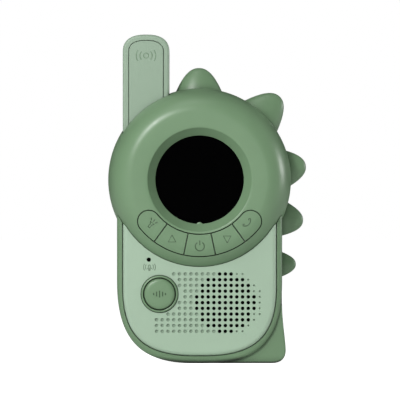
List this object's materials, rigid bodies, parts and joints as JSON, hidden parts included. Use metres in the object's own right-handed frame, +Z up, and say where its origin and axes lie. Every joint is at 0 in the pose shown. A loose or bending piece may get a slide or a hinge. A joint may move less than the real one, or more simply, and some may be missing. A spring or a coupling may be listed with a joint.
{
  "type": "toy walkie talkie",
  "caption": "Toy walkie talkie with a round padded head, a black screen, a crescent of keys, a talk button, a speaker grille, blunt back spikes and a flat aerial.",
  "frame": {"origin": "on the flat base, under the centre line of the round head, at the depth where the two case halves part", "axes": "+X to the right as the front is looked at, +Y from the front to the back, +Z up along the aerial"},
  "size_m": [0.0941, 0.0382, 0.1557],
  "materials": {
    "dark_green_plastic": "satin moulded",
    "pale_green_plastic": "satin moulded",
    "key_green_plastic": "matt moulded",
    "button_green_plastic": "satin moulded",
    "black_glass": "polished",
    "black_plastic": "matt",
    "grey_silicone": "matt",
    "circuit_board": "solder mask",
    "plated_steel": "nickel plated",
    "speaker_paper": "matt",
    "cell_jacket": "printed sleeve",
    "clear_plastic": "clear",
    "copper_wire": "enamelled",
    "red_insulation": "satin",
    "black_insulation": "satin"
  },
  "bodies": {
    "case": {"rear_shell": "dark_green_plastic", "head_bezel": "dark_green_plastic", "front_panel": "pale_green_plastic", "antenna_housing": "pale_green_plastic", "antenna_cover": "pale_green_plastic", "antenna_coil": "copper_wire", "antenna_lead": "black_insulation", "screen_lens": "black_glass", "display_module": "black_plastic", "display_frame": "black_plastic", "keypad_mat": "grey_silicone", "ptt_ring": "button_green_plastic", "ptt_dome": "grey_silicone", "mic_boot": "grey_silicone", "mic_capsule": "plated_steel", "speaker_cloth": "speaker_paper", "speaker_frame": "plated_steel", "speaker_magnet": "plated_steel", "speaker_cone": "speaker_paper", "speaker_lead_red": "red_insulation", "speaker_lead_black": "black_insulation", "main_board": "circuit_board", "radio_chip": "black_plastic", "rf_shield": "plated_steel", "torch_lens": "clear_plastic", "torch_led": "clear_plastic", "battery_cell_1": "cell_jacket", "battery_cell_2": "cell_jacket", "battery_cell_3": "cell_jacket", "battery_spring_1": "plated_steel", "battery_spring_2": "plated_steel", "battery_spring_3": "plated_steel", "terminal_plate_plus": "plated_steel", "terminal_plate_minus": "plated_steel", "link_plate_top": "plated_steel", "link_plate_bottom": "plated_steel", "battery_lead_red": "red_insulation", "battery_lead_black": "black_insulation", "case_screw_1": "plated_steel", "case_screw_2": "plated_steel", "case_screw_3": "plated_steel", "case_screw_4": "plated_steel", "case_screw_5": "plated_steel", "clip_pin": "plated_steel", "clip_spring": "plated_steel"},
    "torch_key": {"torch_key": "key_green_plastic"},
    "up_key": {"up_key": "key_green_plastic"},
    "power_key": {"power_key": "key_green_plastic"},
    "down_key": {"down_key": "key_green_plastic"},
    "call_key": {"call_key": "key_green_plastic"},
    "ptt_button": {"ptt_button": "button_green_plastic"},
    "battery_cover": {"battery_cover": "dark_green_plastic"},
    "cover_screw": {"cover_screw": "plated_steel"},
    "belt_clip": {"belt_clip": "dark_green_plastic"}
  },
  "joints": [
    {"name": "torch_key_press", "type": "slide", "parent": "case", "child": "torch_key", "axis": [0, 1, 0], "range_m": [0, 0.0006], "stiffness_N_per_m": 1500, "springref_m": -0.0004, "deforming": ["keypad_mat"]},
    {"name": "up_key_press", "type": "slide", "parent": "case", "child": "up_key", "axis": [0, 1, 0], "range_m": [0, 0.0006], "stiffness_N_per_m": 1500, "springref_m": -0.0004, "deforming": ["keypad_mat"]},
    {"name": "power_key_press", "type": "slide", "parent": "case", "child": "power_key", "axis": [0, 1, 0], "range_m": [0, 0.0006], "stiffness_N_per_m": 1500, "springref_m": -0.0004, "deforming": ["keypad_mat"]},
    {"name": "down_key_press", "type": "slide", "parent": "case", "child": "down_key", "axis": [0, 1, 0], "range_m": [0, 0.0006], "stiffness_N_per_m": 1500, "springref_m": -0.0004, "deforming": ["keypad_mat"]},
    {"name": "call_key_press", "type": "slide", "parent": "case", "child": "call_key", "axis": [0, 1, 0], "range_m": [0, 0.0006], "stiffness_N_per_m": 1500, "springref_m": -0.0004, "deforming": ["keypad_mat"]},
    {"name": "ptt_button_press", "type": "slide", "parent": "case", "child": "ptt_button", "axis": [0, 1, 0], "range_m": [0, 0.001], "stiffness_N_per_m": 1800, "springref_m": -0.0004, "deforming": ["ptt_dome"]},
    {"name": "battery_cover_swing", "type": "hinge", "parent": "case", "child": "battery_cover", "pos_m": [0, 0.0138, 0.0077], "axis": [-1, 0, 0], "range_deg": [0, 30]},
    {"name": "cover_screw_turn", "type": "hinge", "parent": "battery_cover", "child": "cover_screw", "pos_m": [0, 0.014, 0.0608], "axis": [0, 1, 0], "continuous": true},
    {"name": "belt_clip_squeeze", "type": "hinge", "parent": "case", "child": "belt_clip", "pos_m": [0, 0.017, 0.108], "axis": [1, 0, 0], "range_deg": [0, 25], "stiffness_Nm_per_rad": 0.25, "springref_deg": -34.38, "deforming": ["clip_spring"]}
  ]
}
